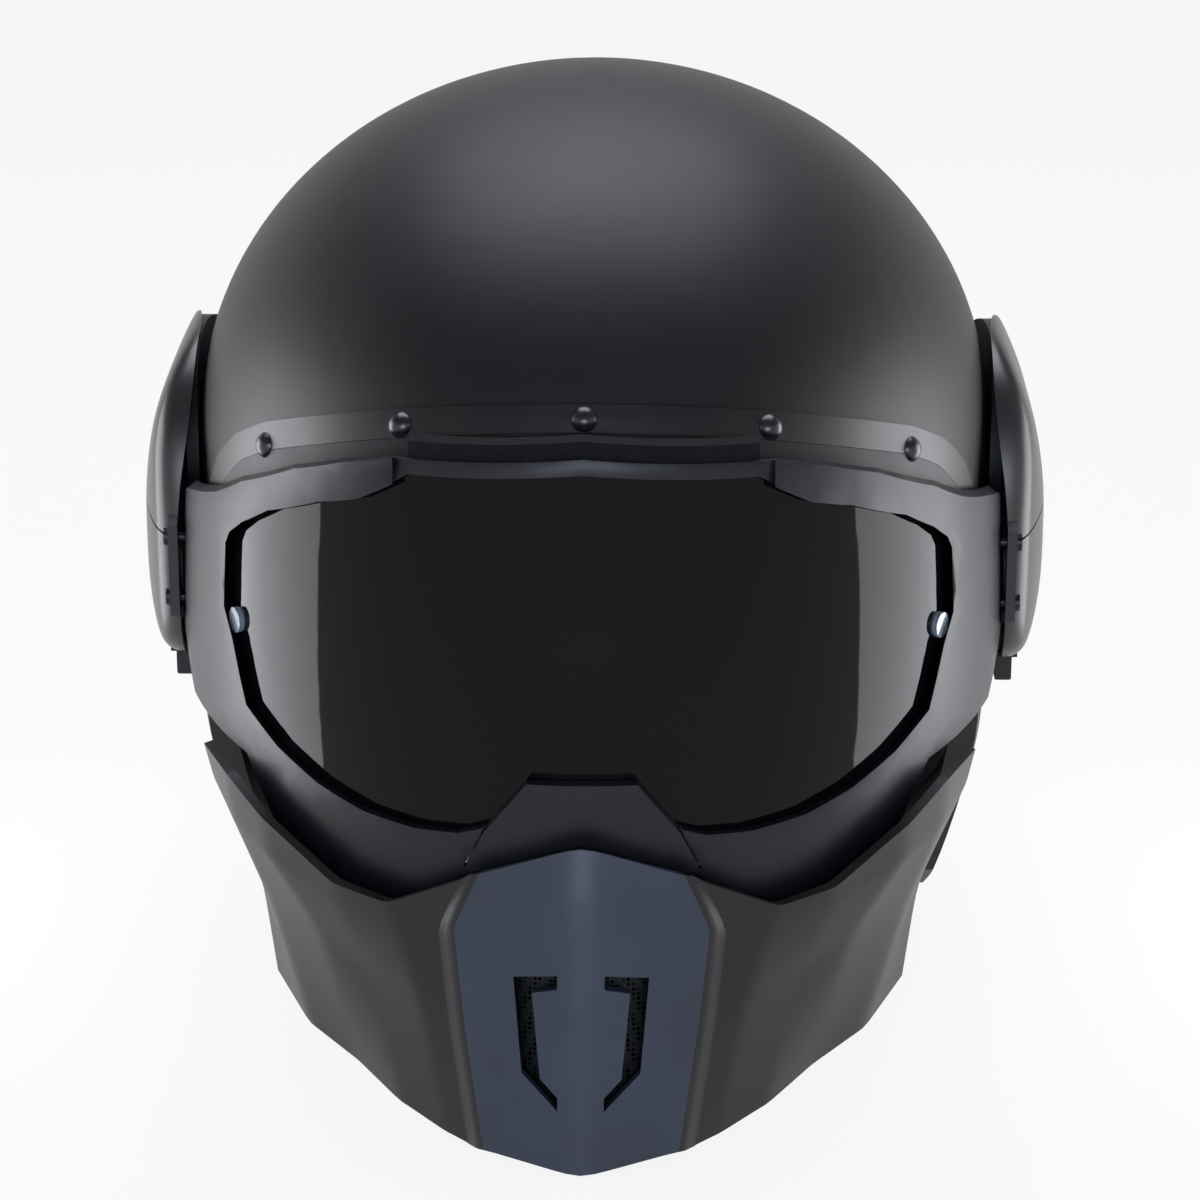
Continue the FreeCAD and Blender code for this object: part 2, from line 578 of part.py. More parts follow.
# The gasket is a rubber strip behind the lens's side and lower edge, one to each side of the nose.
gasket_outside = lens_inside - soft_gap
inner_path = [(x, z) for x, z in opening_half if z < -30 and x > 35]
gasket_width = 3.2
outer_path = []
for x, z in inner_path:
    sideways = max(0.0, (x - 60) / 50)
    downwards = 1 - max(0.0, (x - 70) / 40)
    outer_path.append((x + gasket_width * sideways, z - gasket_width * downwards))
gasket_prism = front_prism(outer_path + list(reversed(inner_path)), front_y0, front_y1)
lens_gasket = mask_layer(gasket_outside, gasket_outside - gasket_wall).common(gasket_prism)
lens_gasket = Part.makeCompound([lens_gasket, mirrored(lens_gasket)])
save("lens_gasket", scaled_y(lens_gasket, mask_ratio))

brow_seal_outline = [(-50, 29.8), (-50, 34.5), (0, 38.6), (50, 34.5), (50, 29.8), (0, 33.3)]
brow_seal = mask_layer(frame_back - soft_gap, -5.0).common(front_prism(brow_seal_outline, front_y0, front_y1))
save("brow_seal", scaled_y(brow_seal, mask_ratio))

# ---------------------------------------------------------------- chin guard
# Rows run down the guard, columns from the rear edge to the centre line: rear edge, cheek, side
# crease, valley beside the ridge's corner, ridge corner, edge of the centre plate, centre.
guard_rows = [
    [(116, -84, -82), (106, -113.7, -79.8), (94, -129, -88), (72, -149.4, -99.3), (55.5, -160.3, -101),
     (29.4, -172, -86.7), (0, -176.6, -76.8)],
    [(113.8, -80, -95), (105, -109, -96), (93, -128.5, -99), (71, -148.5, -106), (53, -162, -107),
     (36.4, -172.4, -104), (0, -181, -90)],
    [(99.6, -80, -129), (94, -103, -128.7), (77, -136, -121), (62, -149, -129), (45, -166, -132),
     (33.2, -177.6, -132), (0, -187.2, -124)],
    [(95.6, -80, -161), (82, -118, -161), (66, -138, -163), (51.6, -160, -166), (33, -177, -170),
     (27.5, -185, -168.5), (0, -tip_reach, -tip_drop)]]


def guard_grid(inward):
    """Every row from one rear edge to the other, moved towards the wearer by inward."""
    grid = []
    for row in guard_rows:
        half = []
        for x, y, z in row:
            out = Vector(x, (y + 40) * 0.75, 0).normalize()
            half.append(Vector(x, y, z) - out * inward)
        grid.append(half + [Vector(-p.x, p.y, p.z) for p in reversed(half[:-1])])
    return grid


def sheet_faces(grid, flip):
    faces = []
    for upper, lower in zip(grid, grid[1:]):
        for i in range(len(upper) - 1):
            a, b, c, d = upper[i], upper[i + 1], lower[i + 1], lower[i]
            for corners in ((a, b, c), (a, c, d)):
                faces.append(closed_face(list(reversed(corners)) if flip else list(corners)))
    return faces


def plate(front, back):
    """A closed solid between two grids of points."""
    faces = sheet_faces(front, False) + sheet_faces(back, True)
    faces += sheet_faces([back[0], front[0]], False)
    faces += sheet_faces([front[-1], back[-1]], False)
    for column in (0, -1):
        faces += sheet_faces([[row[column] for row in front], [row[column] for row in back]], column == 0)
    return Part.makeSolid(Part.makeShell(faces))


chin_guard = plate(guard_grid(0), guard_grid(guard_wall))
if chin_guard.Volume < 0:
    chin_guard.reverse()

# A pair of bracket-shaped air slots through the lower centre plate.
slot_outline = [(6.8, -113.0), (19.6, -115.0), (17.2, -143.0), (6.7, -153.0), (6.7, -149.0),
                (11.8, -144.0), (14.2, -119.0), (6.8, -117.0)]
vent_slot = front_prism(slot_outline, -far, -150)
chin_guard = chin_guard.cut([vent_slot, mirrored(vent_slot)] + frame_holes)
save("chin_guard", chin_guard)

mesh_gap = guard_wall + 1.0
mesh_wall = 0.8
mesh_rows = []
for inward in (mesh_gap, mesh_gap + mesh_wall):
    grid = guard_grid(inward)
    mesh_rows.append([[row[5], row[6], row[7]] for row in grid[1:]])
trimmed = []
for rows in mesh_rows:
    low = [a + (b - a) * 0.75 for a, b in zip(rows[1], rows[2])]
    high = [a + (b - a) * 0.45 for a, b in zip(rows[0], rows[1])]
    trimmed.append([high, rows[1], low])
vent_mesh = plate(trimmed[0], trimmed[1])
save("vent_mesh", vent_mesh)

# ---------------------------------------------------------------- chin strap and buckle
strap_wall = 1.8
strap_half = 12.0
strap_y = anchor_y


def ribbon(path, thickness, y0, y1):
    """A strap whose outer line is given, extruded across its width."""
    inner = []
    for i, (x, z) in enumerate(path):
        x0, z0 = path[max(i - 1, 0)]
        x1, z1 = path[min(i + 1, len(path) - 1)]
        along = Vector(x1 - x0, z1 - z0, 0).normalize()
        inner.append((x + along.y * thickness, z - along.x * thickness))
    return front_prism(path + list(reversed(inner)), y0, y1)


strap_top = [(117.6, -101.0), (115.8, -113.0), (109.5, -124.0), (98.0, -134.0), (82.0, -140.0)]
strap_low_z = -143.0
strap_left_path = strap_top + [(63.0, strap_low_z), (57.0, strap_low_z)]
strap_right_path = strap_top + [(63.0, strap_low_z), (40.0, strap_low_z), (14.0, strap_low_z)]
strap_hole = rod(anchor_radius + slip_gap, Vector(100, anchor_y, anchor_z), outward, 40)
strap_left = ribbon(strap_left_path, strap_wall, strap_y - strap_half, strap_y + strap_half)
strap_right = ribbon(strap_right_path, strap_wall, strap_y - strap_half, strap_y + strap_half)
save("strap_left", strap_left.cut(strap_hole))
save("strap_right", mirrored(strap_right.cut(strap_hole)))

anchor_head = rod(5.5, Vector(half_width - 1.6, anchor_y, anchor_z), outward, 1.6)
anchor_pin = rod(anchor_radius, Vector(110.6, anchor_y, anchor_z), outward, half_width - 111)
anchor_plate = box(110.4, 111.6, anchor_y - 9, anchor_y + 9, anchor_z - 3.5, anchor_z + 6)
anchor = anchor_head.fuse([anchor_pin, anchor_plate])
save("strap_anchors", Part.makeCompound([anchor, mirrored(anchor)]))

buckle_x0 = 16.0
buckle_x1 = 54.0
buckle_half = 13.6
buckle_wall = 1.4
buckle_floor_z = strap_low_z - 3.2
buckle_top_z = strap_low_z + 5.0
knuckle_radius = 2.9
lever_top_z = buckle_floor_z - buckle_wall - soft_gap
pin_place = Vector(buckle_x0 + 6.0, strap_y - buckle_half - 0.6, lever_top_z - knuckle_radius)
buckle_pin_radius = 1.5
lever_wall = 2.0
lever_reach = 30.0
window = (buckle_x0 + 13.0, buckle_x0 + 21.0)

floor_plate = box(buckle_x0, buckle_x1, strap_y - buckle_half, strap_y + buckle_half,
                  buckle_floor_z - buckle_wall, buckle_floor_z)
walls = []
for y0 in (strap_y - buckle_half, strap_y + buckle_half - buckle_wall):
    walls.append(box(buckle_x0, buckle_x1, y0, y0 + buckle_wall, buckle_floor_z - buckle_wall, buckle_top_z))
    walls.append(box(buckle_x0, buckle_x0 + 12.0, y0, y0 + buckle_wall, pin_place.z - 3.0, buckle_floor_z))
strap_bar = box(buckle_x1 - 2.5, buckle_x1, strap_y - buckle_half, strap_y + buckle_half,
                strap_low_z - 2.4, buckle_top_z)
buckle_body = floor_plate.fuse(walls + [strap_bar])
buckle_body = buckle_body.cut([
    box(window[0], window[1], strap_y - 8, strap_y + 8, buckle_floor_z - 3, buckle_floor_z + 1),
    rod(buckle_pin_radius + hub_running_gap, pin_place, Vector(0, 1, 0), 2 * buckle_half + 2)])
save("buckle_body", buckle_body)
save("buckle_pin", rod(buckle_pin_radius, pin_place, Vector(0, 1, 0), 2 * buckle_half + 1.2))

lever_half = buckle_half - buckle_wall - soft_gap
lever = box(pin_place.x, pin_place.x + lever_reach, strap_y - lever_half, strap_y + lever_half,
            lever_top_z - lever_wall, lever_top_z)
knuckle = rod(knuckle_radius, Vector(pin_place.x, strap_y - lever_half, pin_place.z), Vector(0, 1, 0), 2 * lever_half)
pawl = box(window[0] + 1.2, window[1] - 2.4, strap_y - 7.4, strap_y + 7.4,
           lever_top_z - 1, buckle_floor_z - 0.1)
lever = lever.fuse([knuckle, pawl])
lever = lever.cut(rod(buckle_pin_radius + hub_running_gap, pin_place, Vector(0, 1, 0), 40))
save("buckle_lever", lever)

tongue_top = strap_low_z - 0.4
tongue_x0 = -24.0
tongue_x1 = buckle_x1 - 4.0
tongue_low = buckle_floor_z + 0.3
teeth = [(tongue_x0, tongue_low + 0.8), (tongue_x0, tongue_top), (tongue_x1, tongue_top),
         (tongue_x1, tongue_low + 1.2)]
tooth_pitch = 2.5
tooth_count = int((tongue_x1 - tongue_x0 - 30) / tooth_pitch)
for i in range(tooth_count):
    x = tongue_x1 - i * tooth_pitch
    teeth += [(x - tooth_pitch + 0.4, tongue_low), (x - tooth_pitch, tongue_low + 0.8)]
tongue = front_prism(teeth, strap_y - 9.0, strap_y + 9.0)
save("ratchet_tongue", tongue)
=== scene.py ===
"""Open face motorcycle helmet with a swing-up goggle mask, in the order in which it is put together.

Lengths are metres unless a name ends in _mm. The helmet looks along -Y and +X is the wearer's left.
"""
import math

import bmesh
import bpy
from mathutils import Matrix, Vector


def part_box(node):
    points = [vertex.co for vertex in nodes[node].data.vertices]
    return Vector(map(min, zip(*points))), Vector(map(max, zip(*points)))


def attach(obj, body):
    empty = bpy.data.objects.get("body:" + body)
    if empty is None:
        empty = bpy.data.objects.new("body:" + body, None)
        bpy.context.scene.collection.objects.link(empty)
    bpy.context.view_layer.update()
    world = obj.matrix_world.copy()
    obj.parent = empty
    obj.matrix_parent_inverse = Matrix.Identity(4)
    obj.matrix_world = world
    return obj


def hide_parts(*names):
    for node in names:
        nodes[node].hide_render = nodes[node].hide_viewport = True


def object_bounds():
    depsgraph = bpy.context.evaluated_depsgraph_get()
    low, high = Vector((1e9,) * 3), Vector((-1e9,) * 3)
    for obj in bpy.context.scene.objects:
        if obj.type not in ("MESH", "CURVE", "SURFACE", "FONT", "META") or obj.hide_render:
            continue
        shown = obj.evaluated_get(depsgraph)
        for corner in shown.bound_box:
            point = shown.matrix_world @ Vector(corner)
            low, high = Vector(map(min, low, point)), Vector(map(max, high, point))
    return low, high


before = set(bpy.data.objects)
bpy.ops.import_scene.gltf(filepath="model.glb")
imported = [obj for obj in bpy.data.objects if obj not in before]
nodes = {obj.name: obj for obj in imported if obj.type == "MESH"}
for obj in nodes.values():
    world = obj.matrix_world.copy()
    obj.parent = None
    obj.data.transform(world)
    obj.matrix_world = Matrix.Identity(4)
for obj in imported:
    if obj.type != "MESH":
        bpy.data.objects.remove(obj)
cad_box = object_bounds()
mm = 0.001

# ------------------------------------------------------------ outer shell
# The shell is moulded from glass fibre and polycarbonate and sprayed with a matt two-pack lacquer.
# The lacquer gives a broad, soft highlight over the crown and a very fine orange peel.


def colour(code):
    """An sRGB hex colour as linear red, green, blue and alpha."""
    channels = [int(code[i:i + 2], 16) / 255 for i in (1, 3, 5)]
    return tuple(c / 12.92 if c <= 0.04045 else ((c + 0.055) / 1.055) ** 2.4 for c in channels) + (1.0,)


def add(tree, kind, settings=None, values=None, links=None):
    """One node, with its own settings, its sockets' values and the sockets that feed it."""
    made = tree.nodes.new(kind)
    for name, value in (settings or {}).items():
        setattr(made, name, value)
    for name, value in (values or {}).items():
        made.inputs[name].default_value = value
    for name, source in (links or {}).items():
        tree.links.new(source, made.inputs[name])
    return made


def new_finish(name, values):
    """A material whose Principled shader has the given values on its sockets."""
    material = bpy.data.materials.new(name)
    material.use_nodes = True
    tree = material.node_tree
    tree.nodes.clear()
    shader = add(tree, "ShaderNodeBsdfPrincipled", values=values)
    add(tree, "ShaderNodeOutputMaterial", links={"Surface": shader.outputs["BSDF"]})
    return material, tree, shader


def grained_finish(name, dark, light, patch_mm, grain_mm, relief_mm, rough, **values):
    """Two close colours in soft patches, an uneven roughness and a fine grain in relief."""
    material, tree, shader = new_finish(name, values)
    place = add(tree, "ShaderNodeTexCoord").outputs["Object"]
    patches = add(tree, "ShaderNodeTexNoise", values={"Scale": 1000 / patch_mm, "Detail": 3.0},
                  links={"Vector": place})
    tone = add(tree, "ShaderNodeValToRGB", links={"Fac": patches.outputs["Fac"]})
    tone.color_ramp.elements[0].position = 0.35
    tone.color_ramp.elements[0].color = colour(dark)
    tone.color_ramp.elements[1].position = 0.65
    tone.color_ramp.elements[1].color = colour(light)
    tree.links.new(tone.outputs["Color"], shader.inputs["Base Color"])
    sheen = add(tree, "ShaderNodeMapRange", values={"To Min": rough[0], "To Max": rough[1]},
                links={"Value": patches.outputs["Fac"]})
    tree.links.new(sheen.outputs["Result"], shader.inputs["Roughness"])
    grain = add(tree, "ShaderNodeTexNoise", values={"Scale": 1000 / grain_mm, "Detail": 2.0},
                links={"Vector": place})
    relief = add(tree, "ShaderNodeBump", values={"Strength": 1.0, "Distance": relief_mm * mm},
                 links={"Height": grain.outputs["Fac"]})
    tree.links.new(relief.outputs["Normal"], shader.inputs["Normal"])
    return material


def coat_node(name, material):
    """Give a carried-over piece its finish."""
    piece = nodes[name]
    piece.data.materials.clear()
    piece.data.materials.append(material)


matt_lacquer = grained_finish("matt_lacquer", "#0d0d10", "#111114", 40, 0.9, 0.012, (0.46, 0.54),
                              **{"Specular IOR Level": 0.38})
coat_node("outer_shell", matt_lacquer)

# ------------------------------------------------------------ energy liner
# The liner is moulded from expanded polystyrene beads that fuse into flat-sided cells.
# The cells are 4 mm across and show as a faint net of grooves, which are painted darker as painted shade.
bead_mm = 4.0
bead_groove = 0.3 * mm
bead_foam, tree, shader = new_finish("expanded_bead_foam", {"Roughness": 0.85, "Specular IOR Level": 0.2})
place = add(tree, "ShaderNodeTexCoord").outputs["Object"]
beads = add(tree, "ShaderNodeTexVoronoi", {"feature": "DISTANCE_TO_EDGE"}, {"Scale": 1000 / bead_mm},
            {"Vector": place})
# Darker towards each cell's edge: painted shade in the grooves.
painted_groove_shade = add(tree, "ShaderNodeValToRGB", links={"Fac": beads.outputs["Distance"]})
painted_groove_shade.color_ramp.elements[0].color = colour("#0c0c0e")
painted_groove_shade.color_ramp.elements[1].position = 0.12
painted_groove_shade.color_ramp.elements[1].color = colour("#26262a")
tree.links.new(painted_groove_shade.outputs["Color"], shader.inputs["Base Color"])
bead_relief = add(tree, "ShaderNodeBump", values={"Strength": 1.0, "Distance": bead_groove},
                  links={"Height": painted_groove_shade.outputs["Color"]})
tree.links.new(bead_relief.outputs["Normal"], shader.inputs["Normal"])
coat_node("eps_liner", bead_foam)

# ------------------------------------------------------------ comfort lining
# Crown pad, cheek pads and neck roll are foam sewn into brushed knit, with a piped seam round each
# and quilted channels across the crown. The knit has a loop every 1.2 mm, drawn at 1.6 mm to show.
loop_mm = 1.6
loop_relief = 0.25 * mm
waves_per_unit = 20
brushed_knit, tree, shader = new_finish(
    "brushed_knit",
    {"Roughness": 0.9, "Specular IOR Level": 0.2, "Sheen Weight": 0.35, "Sheen Roughness": 0.5})
place = add(tree, "ShaderNodeTexCoord").outputs["Object"]
across = add(tree, "ShaderNodeTexWave", {"bands_direction": "X"},
             {"Scale": 1000 / loop_mm / waves_per_unit, "Distortion": 1.5, "Detail Scale": 4.0},
             {"Vector": place})
along = add(tree, "ShaderNodeTexWave", {"bands_direction": "Z"},
            {"Scale": 1000 / loop_mm / waves_per_unit, "Distortion": 1.5, "Detail Scale": 4.0},
            {"Vector": place})
loops = add(tree, "ShaderNodeMath", {"operation": "MULTIPLY"},
            links={0: across.outputs["Fac"], 1: along.outputs["Fac"]})
knit_tone = add(tree, "ShaderNodeValToRGB", links={"Fac": loops.outputs["Value"]})
knit_tone.color_ramp.elements[0].color = colour("#101012")
knit_tone.color_ramp.elements[1].color = colour("#2a2a2e")
tree.links.new(knit_tone.outputs["Color"], shader.inputs["Base Color"])
knit_relief = add(tree, "ShaderNodeBump", values={"Strength": 0.8, "Distance": loop_relief},
                  links={"Height": loops.outputs["Value"]})
tree.links.new(knit_relief.outputs["Normal"], shader.inputs["Normal"])

pad_voxel = 4.5 * mm
pad_swell = 3.0 * mm
swell_kept = 0.8
foam_pressure = 4.0
pressure_frames = 12
channel_depth = 2.2 * mm
channel_half = 4.0 * mm


def sewn_pad(node, name, seams):
    """A stuffed cover: the pad's outline drawn in, blown up by its foam, then sewn down at its seams.

    Each seam is a plane, as a point and a direction, where the thread pulls the cover in.
    """
    pad = bpy.data.objects.new(name, nodes[node].data.copy())
    bpy.context.scene.collection.objects.link(pad)
    remesh = pad.modifiers.new("even_mesh", "REMESH")
    remesh.mode = "VOXEL"
    remesh.voxel_size = pad_voxel
    draw_in = pad.modifiers.new("draw_in", "DISPLACE")
    draw_in.strength = -pad_swell
    draw_in.mid_level = 0.0
    round_off = pad.modifiers.new("round_off", "SMOOTH")
    round_off.factor = 0.5
    round_off.iterations = 4
    depsgraph = bpy.context.evaluated_depsgraph_get()
    even = bpy.data.meshes.new_from_object(pad.evaluated_get(depsgraph))
    pad.modifiers.clear()
    pad.data = even
    start = [v.co.copy() for v in even.vertices]
    cloth = pad.modifiers.new("foam_pressure", "CLOTH")
    cloth.settings.use_pressure = True
    cloth.settings.uniform_pressure_force = foam_pressure
    cloth.settings.effector_weights.gravity = 0.0
    scene = bpy.context.scene
    for moment in range(1, pressure_frames + 1):
        scene.frame_set(moment)
    depsgraph = bpy.context.evaluated_depsgraph_get()
    blown = pad.evaluated_get(depsgraph).data
    moved = [v.co.copy() for v in blown.vertices]
    pad.modifiers.clear()
    for vertex, a, b in zip(even.vertices, start, moved):
        step = b - a
        vertex.co = a + step * min(1.0, swell_kept * pad_swell / max(step.length, 1e-9))
    scene.frame_set(1)
    normals = [v.normal.copy() for v in even.vertices]
    for vertex, normal in zip(even.vertices, normals):
        pull = 0.0
        for point, direction in seams:
            away = abs((vertex.co - Vector(point)).dot(Vector(direction).normalized()))
            pull = max(pull, math.exp(-(away / channel_half) ** 2))
        vertex.co -= normal * channel_depth * pull
    for polygon in even.polygons:
        polygon.use_smooth = True
    subdivision = pad.modifiers.new("soft_surface", "SUBSURF")
    subdivision.levels = 1
    subdivision.render_levels = 1
    pad.data.materials.clear()
    pad.data.materials.append(brushed_knit)
    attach(pad, "shell")
    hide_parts(node)


def middle(node):
    """The middle of a node's box."""
    low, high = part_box(node)
    return (low + high) / 2


crown_middle = middle("crown_pad")
crown_pitch = 32 * mm
crown_row_pitch = 1.6 * crown_pitch
cheek_seam_above = Vector((0, 0, 18 * mm))
cheek_seam_below = Vector((0, 0, -14 * mm))
crown_seams = [(crown_middle + Vector((i * crown_pitch, 0, 0)), (1, 0, 0)) for i in (-1.5, -0.5, 0.5, 1.5)]
crown_seams += [(crown_middle + Vector((0, i * crown_row_pitch, 0)), (0, 1, 0)) for i in (-1, 0, 1)]
sewn_pad("crown_pad", "crown_pad_quilted", crown_seams)
for side in ("left", "right"):
    cheek_middle = middle("cheek_pad_" + side)
    cheek_seams = [(cheek_middle + cheek_seam_above, (0, 0.3, 1)),
                   (cheek_middle + cheek_seam_below, (0, -0.2, 1))]
    sewn_pad("cheek_pad_" + side, "cheek_pad_%s_sewn" % side, cheek_seams)
sewn_pad("neck_roll", "neck_roll_sewn", [(middle("neck_roll"), (1, 0, 0))])

# ------------------------------------------------------------ edge trim
# A rubber channel is pushed and glued over the whole cut edge of the shell.
# Extruded rubber is matt, a little greyer than the lacquer and slightly uneven.
edge_rubber = grained_finish("extruded_edge_rubber", "#131316", "#1a1a1e", 12, 0.6, 0.02, (0.45, 0.6),
                             **{"Specular IOR Level": 0.4})
coat_node("edge_trim", edge_rubber)

# ------------------------------------------------------------ brow strip and rivets
# A moulded strip covers the shell's edge over the brow and is held by five domed rivets.
# The strip is satin, so that it stands out from the matt shell; the rivets are painted steel.
satin_strip = grained_finish("satin_moulded_strip", "#0d0d10", "#121215", 15, 0.7, 0.01, (0.34, 0.42),
                             **{"Specular IOR Level": 0.5})
painted_rivet = grained_finish("painted_steel_rivet", "#15161b", "#1d1f26", 3, 0.5, 0.01, (0.26, 0.36),
                               **{"Specular IOR Level": 0.6})
coat_node("brow_strip", satin_strip)
coat_node("brow_rivets", painted_rivet)

# ------------------------------------------------------------ pivot bases and hardware
# Each base is moulded in glass-filled nylon. Screws, nuts, washers, leaves and springs are
# blackened steel, which is a dark metal with a faint brushed streak.
filled_nylon = grained_finish("glass_filled_nylon", "#101013", "#17171b", 6, 0.4, 0.03, (0.5, 0.62),
                              **{"Specular IOR Level": 0.4})
for side in ("left", "right"):
    coat_node("pivot_base_" + side, filled_nylon)
blackened_steel = grained_finish("blackened_steel", "#2b2c2f", "#3a3b3f", 2.5, 0.25, 0.008, (0.3, 0.45),
                                 Metallic=1.0)
for name in ("base_screws", "pivot_nuts", "pivot_screw_left", "pivot_screw_right", "friction_washers",
             "pod_screws", "guard_screws", "arm_screws", "detent_leaf_left", "detent_leaf_right",
             "tab_spring_left", "tab_spring_right", "buckle_pin", "strap_anchors"):
    coat_node(name, blackened_steel)

# ------------------------------------------------------------ mask arms
# Each arm is pressed from steel sheet and powder coated.
powder_coat = grained_finish("powder_coated_steel", "#121216", "#1a1b20", 8, 0.5, 0.02, (0.42, 0.52),
                             **{"Specular IOR Level": 0.5})
for side in ("left", "right"):
    coat_node("mask_arm_" + side, powder_coat)

# ------------------------------------------------------------ side pods
# Two half shells are moulded in ABS, sprayed with the shell's lacquer and polished a little by hand.
# They are warmer and glossier than the shell, and their rounded edges catch the side lights.
pod_lacquer = grained_finish("hand_polished_lacquer", "#1b191a", "#232022", 30, 0.8, 0.008, (0.30, 0.40),
                             **{"Specular IOR Level": 0.6})

# The pod's outline from the side is in y and z, in mm from the waist. Two lists say how far it stands
# out, by its height and by its length. Each ring is a share of the outline with its lift in mm, from
# the inner edge over the rounded rim to the middle. The inner edge steps in where the shell recedes.
waist = Vector((0, 22.9, 172)) * mm
pod_outline = [(-44, -66), (-44.5, -42), (-44, -18), (-37, 8), (-20, 25), (6, 28), (30, 25), (60, 4),
               (67, -24), (54, -58), (16, -77), (-28, -77)]
pod_by_height = [(-77, 137.5), (-68, 142), (-54, 144.6), (-26, 144.6), (-18, 143.5), (4, 139.5),
                 (18, 134), (28, 129)]
pod_by_length = [(-60, 131), (-52, 134), (-28, 142), (-6, 144.8), (28, 144.8), (66, 136), (76, 131)]
pod_middle = (11, -22)
pod_rings = [(1.0, None), (1.0, -5.0), (0.975, -1.6), (0.90, -0.3), (0.62, 0.0), (0.3, 0.0)]
pod_inner_upper = 125.2
pod_inner_edge = 130.0
pod_step = (14, -14)
pod_least_depth = 1.0
pod_wall = 2.2 * mm
pod_lip = 0.35 * mm
seam_inner = Vector((126, 0, -33)) * mm
seam_outer = Vector((145, 0, -24)) * mm
seam_half = 0.3 * mm


def between(stations, place):
    """The value at a place along a list of (place, value) stations."""
    for (a, low), (b, high) in zip(stations, stations[1:]):
        if place <= b:
            return low + (high - low) * max(0.0, (place - a) / (b - a))
    return stations[-1][1]


def pod_half_shell(side, half):
    """One half of a pod: the domed outline, cut along the seam and given its wall."""
    sign = 1 if side == "left" else -1
    shape = bmesh.new()
    rings = []
    for share, lift in pod_rings:
        ring = []
        for y, z in pod_outline:
            at_y = pod_middle[0] + (y - pod_middle[0]) * share
            at_z = pod_middle[1] + (z - pod_middle[1]) * share
            out = min(between(pod_by_height, at_z), between(pod_by_length, at_y))
            inner = pod_inner_upper if y < pod_step[0] and z > pod_step[1] else pod_inner_edge
            at_x = inner if lift is None else max(inner + pod_least_depth, out + lift)
            ring.append(shape.verts.new((at_x * mm, at_y * mm, at_z * mm)))
        rings.append(ring)
    for outer, nearer in zip(rings, rings[1:]):
        for i, vertex in enumerate(outer):
            following = (i + 1) % len(outer)
            shape.faces.new((vertex, outer[following], nearer[following], nearer[i]))
    shape.faces.new(rings[-1])
    bmesh.ops.recalc_face_normals(shape, faces=shape.faces)
    crease = shape.edges.layers.float.new("crease_edge")
    for i, vertex in enumerate(rings[0]):
        shape.edges.get((vertex, rings[0][(i + 1) % len(rings[0])]))[crease] = 1.0
    data = bpy.data.meshes.new("pod_dome")
    shape.to_mesh(data)
    shape.free()
    dome = bpy.data.objects.new("pod_dome", data)
    bpy.context.scene.collection.objects.link(dome)
    rounded = dome.modifiers.new("rounded", "SUBSURF")
    rounded.levels = 3
    rounded.render_levels = 3
    depsgraph = bpy.context.evaluated_depsgraph_get()
    smooth = bpy.data.meshes.new_from_object(dome.evaluated_get(depsgraph))
    bpy.data.objects.remove(dome)
    shape = bmesh.new()
    shape.from_mesh(smooth)
    seam_normal = (seam_outer - seam_inner).cross(Vector((0, -1, 0))).normalized()
    if seam_normal.z < 0:
        seam_normal.negate()
    keep_upper = half == "upper"
    offset = seam_normal * (seam_half if keep_upper else -seam_half)
    bmesh.ops.bisect_plane(shape, geom=shape.verts[:] + shape.edges[:] + shape.faces[:], dist=1e-6,
                           plane_co=seam_inner + offset, plane_no=seam_normal,
                           clear_inner=keep_upper, clear_outer=not keep_upper)
    behind = sum((v.co for v in shape.verts), Vector()) / len(shape.verts) - Vector((0.02, 0, 0))
    if sum(face.normal.dot(face.calc_center_median() - behind) for face in shape.faces) < 0:
        bmesh.ops.reverse_faces(shape, faces=shape.faces)
    for vertex in shape.verts:
        vertex.co = Vector((sign * vertex.co.x, vertex.co.y, vertex.co.z)) + waist
    if sign < 0:
        bmesh.ops.reverse_faces(shape, faces=shape.faces)
    made = bpy.data.meshes.new("side_cover_%s_%s_domed" % (half, side))
    shape.to_mesh(made)
    shape.free()
    cover = bpy.data.objects.new(made.name, made)
    bpy.context.scene.collection.objects.link(cover)
    for polygon in made.polygons:
        polygon.use_smooth = True
    wall = cover.modifiers.new("wall", "SOLIDIFY")
    wall.thickness = pod_wall
    wall.offset = -1.0
    lip = cover.modifiers.new("lip", "BEVEL")
    lip.width = pod_lip
    lip.segments = 2
    lip.limit_method = "ANGLE"
    lip.angle_limit = math.radians(50)
    lip.harden_normals = True
    made.materials.append(pod_lacquer)
    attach(cover, "mask")
    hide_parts("side_cover_%s_%s" % (half, side))


for side in ("left", "right"):
    for half in ("upper", "lower"):
        pod_half_shell(side, half)
    coat_node("release_tab_" + side, filled_nylon)

# ------------------------------------------------------------ goggle frame and nose piece
# The frame is moulded in satin polyamide with a cold, navy tone, with soft edges all round.
# The nose piece is the same moulding material, clipped in under the lens.
satin_polyamide = grained_finish("satin_polyamide", "#0c0e14", "#11141b", 25, 0.8, 0.012, (0.36, 0.44),
                                 **{"Specular IOR Level": 0.35})
coat_node("goggle_frame", satin_polyamide)
frame_edge = 0.8 * mm
frame_sharp = math.radians(35)
same_flat = math.radians(0.3)
same_point = 0.002 * mm
joined = nodes["goggle_frame"].modifiers.new("join", "WELD")
joined.merge_threshold = same_point
flats = nodes["goggle_frame"].modifiers.new("flats", "DECIMATE")
flats.decimate_type = "DISSOLVE"
flats.angle_limit = same_flat
rounding = nodes["goggle_frame"].modifiers.new("rounding", "BEVEL")
rounding.width = frame_edge
rounding.segments = 3
rounding.limit_method = "ANGLE"
rounding.angle_limit = frame_sharp
rounding.harden_normals = True
coat_node("nose_piece", satin_polyamide)

